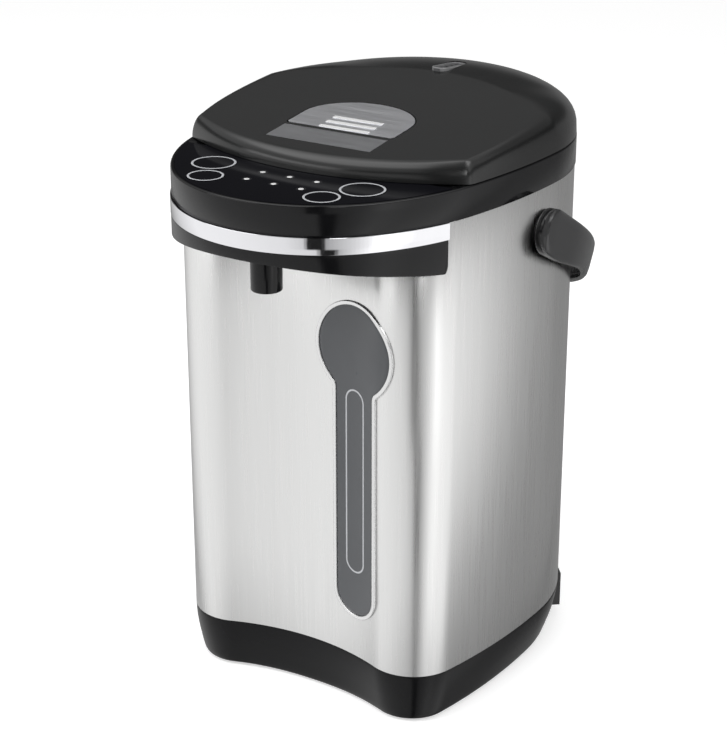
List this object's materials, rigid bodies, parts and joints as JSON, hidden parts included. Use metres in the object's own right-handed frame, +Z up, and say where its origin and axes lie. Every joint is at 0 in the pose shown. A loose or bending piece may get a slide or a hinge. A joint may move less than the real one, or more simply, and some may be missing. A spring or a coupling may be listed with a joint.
{
  "type": "electric thermo pot",
  "caption": "Upright insulated steel hot-water pot with a hinged lid, a bail handle, a round beak with keys and a spout nozzle, a level window and a plastic base.",
  "frame": {"origin": "under the middle of the whole object's box, handle included, on the table plane", "axes": "+Z up; -Y is the front, where the spout is; +X is the viewer's right when looking at the front; the pot axis stands at x = 0, y = 26.8 mm"},
  "size_m": [0.2512, 0.3256, 0.3918],
  "materials": {
    "steel": "vertical fine brushing, satin",
    "pot_steel": "smooth satin",
    "chrome": "polished",
    "black_gloss": "glossy",
    "black_satin": "satin",
    "panel": "mirror glossy",
    "latch_grey": "fine brushing across",
    "smoked": "smoked, glossy",
    "led": "frosted",
    "tube": "clear",
    "silicone": "matt, translucent look",
    "rubber": "matt",
    "white_plastic": "matt",
    "grey_plastic": "matt",
    "zinc": "zinc plated",
    "board": "matt board",
    "brass": "bare",
    "aluminium": "cast",
    "felt": "felt",
    "mica": "woven band",
    "magnet": "bare"
  },
  "bodies": {
    "pot": {"base_shell": "black_gloss", "bottom_cover": "black_satin", "rubber_feet": "rubber", "bottom_screws": "zinc", "body_shell": "steel", "head_shell": "black_gloss", "visor": "black_gloss", "chrome_band": "chrome", "control_panel": "panel", "led_lenses": "led", "control_board": "board", "key_switches": "grey_plastic", "frame_screws": "zinc", "spout_nozzle": "black_gloss", "outlet_hose": "silicone", "tilt_valve": "white_plastic", "window_frame": "chrome", "window_lens": "smoked", "level_tube": "tube", "riser_hose": "silicone", "inner_pot": "pot_steel", "pot_seal": "silicone", "pot_ring": "grey_plastic", "insulation_jacket": "felt", "keep_warm_band": "mica", "boil_heater": "aluminium", "temperature_sensor": "grey_plastic", "boil_dry_cutout": "mica", "inlet_hose": "silicone", "pump_body": "white_plastic", "pump_cover": "white_plastic", "pump_motor": "zinc", "pump_bracket": "white_plastic", "power_board": "board", "inlet_housing": "black_satin", "inlet_pins": "brass", "handle_bosses": "black_gloss", "handle_pins": "black_gloss", "latch_keeper": "zinc", "hinge_bracket": "black_satin", "hinge_pin": "zinc"},
    "handle": {"handle": "black_satin"},
    "lid": {"lid_cover": "black_gloss", "lid_liner": "grey_plastic", "inner_lid": "pot_steel", "lid_gasket": "silicone", "lid_screws": "zinc", "vent_cap": "black_satin", "steam_valve": "white_plastic", "latch_plate": "latch_grey", "lever_pin": "zinc"},
    "latch_lever": {"latch_lever": "latch_grey"},
    "latch_bolt": {"latch_bolt": "white_plastic", "latch_spring": "zinc"},
    "key_unlock": {"key_unlock": "panel"},
    "key_reboil": {"key_reboil": "panel"},
    "key_warm": {"key_warm": "panel"},
    "key_pour": {"key_pour": "panel"},
    "impeller": {"impeller": "white_plastic"},
    "drive_magnet": {"drive_magnet": "magnet"}
  },
  "joints": [
    {"name": "lid_hinge", "type": "hinge", "parent": "pot", "child": "lid", "pos_m": [0, 0.12979, 0.3712], "axis": [-1, 0, 0], "range_deg": [0, 90]},
    {"name": "handle_hinge", "type": "hinge", "parent": "pot", "child": "handle", "pos_m": [0, 0.01179, 0.313], "axis": [1, 0, 0], "range_deg": [0, 120]},
    {"name": "latch_lever_hinge", "type": "hinge", "parent": "lid", "child": "latch_lever", "pos_m": [0, -0.00812, 0.3773], "axis": [-1, 0, 0], "range_deg": [0, 17], "stiffness_Nm_per_rad": 0.1, "springref_deg": -11.46},
    {"name": "latch_bolt_slide", "type": "slide", "parent": "lid", "child": "latch_bolt", "axis": [0, -1, 0], "range_m": [0, 0.0028], "deforming": ["latch_spring"]},
    {"name": "key_unlock_press", "type": "slide", "parent": "pot", "child": "key_unlock", "axis": [0, 0, -1], "range_m": [0, 0.0006], "stiffness_N_per_m": 800, "springref_m": -0.001},
    {"name": "key_reboil_press", "type": "slide", "parent": "pot", "child": "key_reboil", "axis": [0, 0, -1], "range_m": [0, 0.0006], "stiffness_N_per_m": 800, "springref_m": -0.001},
    {"name": "key_warm_press", "type": "slide", "parent": "pot", "child": "key_warm", "axis": [0, 0, -1], "range_m": [0, 0.0006], "stiffness_N_per_m": 800, "springref_m": -0.001},
    {"name": "key_pour_press", "type": "slide", "parent": "pot", "child": "key_pour", "axis": [0, 0, -1], "range_m": [0, 0.0006], "stiffness_N_per_m": 800, "springref_m": -0.001},
    {"name": "magnet_spin", "type": "hinge", "parent": "pot", "child": "drive_magnet", "pos_m": [-0.042, -0.01121, 0.05], "axis": [0, 0, 1], "continuous": true},
    {"name": "impeller_spin", "type": "hinge", "parent": "pot", "child": "impeller", "pos_m": [-0.042, -0.01121, 0.06], "axis": [0, 0, 1], "continuous": true}
  ],
  "couplings": [
    {"joint": "latch_bolt_slide", "follows": "latch_lever_hinge", "m_per_rad": 0.0094},
    {"joint": "impeller_spin", "follows": "magnet_spin", "ratio": 1}
  ]
}
